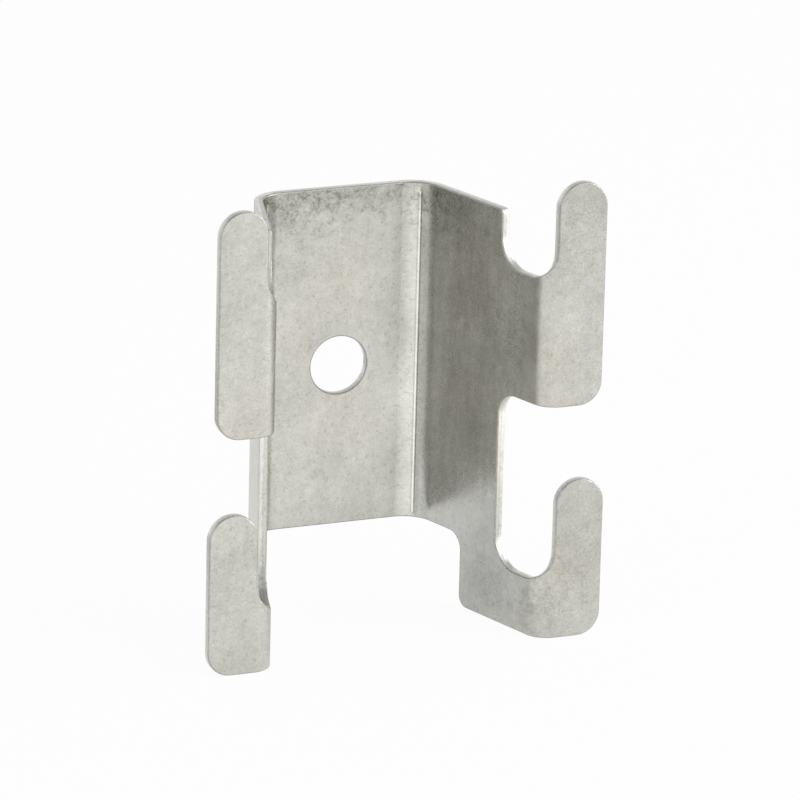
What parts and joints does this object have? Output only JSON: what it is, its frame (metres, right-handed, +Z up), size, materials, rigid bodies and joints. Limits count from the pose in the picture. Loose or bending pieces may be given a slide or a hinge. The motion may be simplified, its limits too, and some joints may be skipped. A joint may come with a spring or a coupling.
{
  "type": "stamped metal bracket",
  "caption": "Flared channel bracket folded from sheet steel, with a bolt hole in its web and upright round-tipped hooks on its outturned flanges.",
  "frame": {"origin": "middle of the bolt hole on the web's back face, the face that lies on the wall", "axes": "+Z up along the hooks, -Y forward from the wall to the hooks, +X to the right as seen from the front"},
  "size_m": [0.0694, 0.0335, 0.0781],
  "materials": {
    "sheet_steel": "bare rolled steel, tumbled matte, faintly mottled"
  },
  "bodies": {
    "root": {"bracket": "sheet_steel"}
  },
  "joints": []
}
